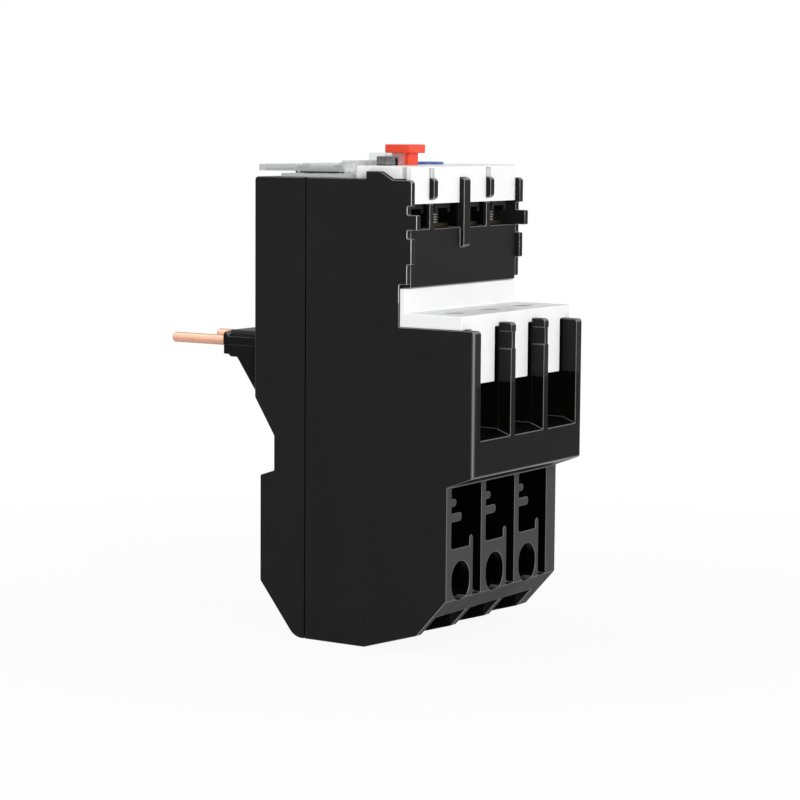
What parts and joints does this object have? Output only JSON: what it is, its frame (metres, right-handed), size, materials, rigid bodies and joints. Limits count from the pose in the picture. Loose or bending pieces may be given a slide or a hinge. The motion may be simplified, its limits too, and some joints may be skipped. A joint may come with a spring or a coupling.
{
  "type": "thermal overload relay",
  "caption": "Three-pole bimetal overload relay that plugs into a contactor, with setting dial under a clear lid, stop, reset and test buttons, and screw terminals",
  "frame": {"origin": "middle of the flat foot at the lower end of the housing, on the centre pole", "axes": "+Z out of the foot towards the setting face, +X towards the cable terminals, -X along the plug pins, Y across the three poles"},
  "size_m": [0.0828, 0.045, 0.1042],
  "materials": {
    "black_plastic": "fine matt",
    "carrier_plastic": "fine matt",
    "terminal_plastic": "fine matt",
    "white_plastic": "satin",
    "clear_plastic": "clear",
    "red_plastic": "satin",
    "blue_plastic": "satin",
    "grey_plastic": "satin",
    "dial_plastic": "satin",
    "mechanism_plastic": "natural",
    "copper": "drawn copper",
    "brass": "stamped",
    "bimetal": "rolled",
    "heater_ribbon": "oxidised",
    "zinc_steel": "zinc plated"
  },
  "bodies": {
    "base": {"main_housing": "black_plastic", "rear_shell": "black_plastic", "pin_carrier": "carrier_plastic", "main_terminal_screws": "zinc_steel", "main_clamps": "zinc_steel", "aux_terminal_screws": "zinc_steel", "aux_clamps": "zinc_steel", "terminal_cover": "white_plastic", "aux_terminal_block": "terminal_plastic", "faceplate": "white_plastic", "bimetal_frame": "mechanism_plastic", "mechanism_plate": "mechanism_plastic", "hinge_pin": "zinc_steel", "aux_terminal_bar_1": "brass", "aux_terminal_bar_2": "brass", "aux_terminal_bar_3": "brass", "aux_terminal_bar_4": "brass", "line_pin_1": "copper", "line_pin_2": "copper", "line_pin_3": "copper", "bimetal_1": "bimetal", "bimetal_2": "bimetal", "bimetal_3": "bimetal", "heater_1": "heater_ribbon", "heater_2": "heater_ribbon", "heater_3": "heater_ribbon", "load_bar_1": "brass", "load_bar_2": "brass", "load_bar_3": "brass", "stop_spring": "zinc_steel", "reset_spring": "zinc_steel", "test_spring": "zinc_steel"},
    "cover": {"clear_cover": "clear_plastic"},
    "dial": {"setting_dial": "dial_plastic"},
    "compensator": {"compensation_lever": "bimetal"},
    "stop": {"stop_button": "red_plastic"},
    "reset": {"reset_plunger": "grey_plastic"},
    "reset_cap": {"reset_button": "blue_plastic"},
    "test": {"test_button": "grey_plastic"},
    "trip_slide": {"trip_slide": "mechanism_plastic"},
    "differential": {"differential_slide": "mechanism_plastic"},
    "trip_lever": {"trip_lever": "mechanism_plastic"},
    "rocker": {"contact_rocker": "mechanism_plastic", "break_bridge": "brass", "make_bridge": "brass"}
  },
  "joints": [
    {"name": "cover_hinge", "type": "hinge", "parent": "base", "child": "cover", "pos_m": [-0.019, 0, 0.09845], "axis": [0, -1, 0], "range_deg": [0, 90]},
    {"name": "dial_turn", "type": "hinge", "parent": "base", "child": "dial", "pos_m": [-0.0104, -0.0116, 0.0982], "axis": [0, 0, 1], "range_deg": [-90, 90]},
    {"name": "compensation_pivot", "type": "hinge", "parent": "base", "child": "compensator", "pos_m": [-0.0144, 0, 0.0875], "axis": [0, 0, 1], "range_deg": [-4, 4]},
    {"name": "stop_press", "type": "slide", "parent": "base", "child": "stop", "axis": [0, 0, -1], "range_m": [0, 0.0018], "stiffness_N_per_m": 600, "springref_m": -0.0015, "deforming": ["stop_spring"]},
    {"name": "reset_press", "type": "slide", "parent": "base", "child": "reset", "axis": [0, 0, -1], "range_m": [0, 0.0014], "stiffness_N_per_m": 600, "springref_m": -0.0015, "deforming": ["reset_spring"]},
    {"name": "reset_turn", "type": "hinge", "parent": "reset", "child": "reset_cap", "pos_m": [0.004, 0.006, 0.0995], "axis": [0, 0, 1], "range_deg": [0, 90]},
    {"name": "test_press", "type": "slide", "parent": "base", "child": "test", "axis": [0, 0, -1], "range_m": [0, 0.001], "stiffness_N_per_m": 500, "springref_m": -0.0015, "deforming": ["test_spring"]},
    {"name": "trip_travel", "type": "slide", "parent": "base", "child": "trip_slide", "axis": [0, 1, 0], "range_m": [0, 0.002], "stiffness_N_per_m": 150, "springref_m": -0.001},
    {"name": "differential_travel", "type": "slide", "parent": "base", "child": "differential", "axis": [0, 1, 0], "range_m": [0, 0.002]},
    {"name": "trip_pivot", "type": "hinge", "parent": "base", "child": "trip_lever", "pos_m": [-0.008, 0.0182, 0.07], "axis": [0, 0, 1], "range_deg": [0, 16]},
    {"name": "rocker_pivot", "type": "hinge", "parent": "base", "child": "rocker", "pos_m": [-0.001, -0.0011, 0.0875], "axis": [0, 0, -1], "range_deg": [0, 6.8]}
  ],
  "couplings": [
    {"joint": "compensation_pivot", "follows": "dial_turn", "ratio": -0.0439},
    {"joint": "differential_travel", "follows": "trip_travel", "ratio": 1},
    {"joint": "trip_pivot", "follows": "trip_travel", "rad_per_m": 139.6},
    {"joint": "rocker_pivot", "follows": "trip_travel", "rad_per_m": 59.3}
  ]
}
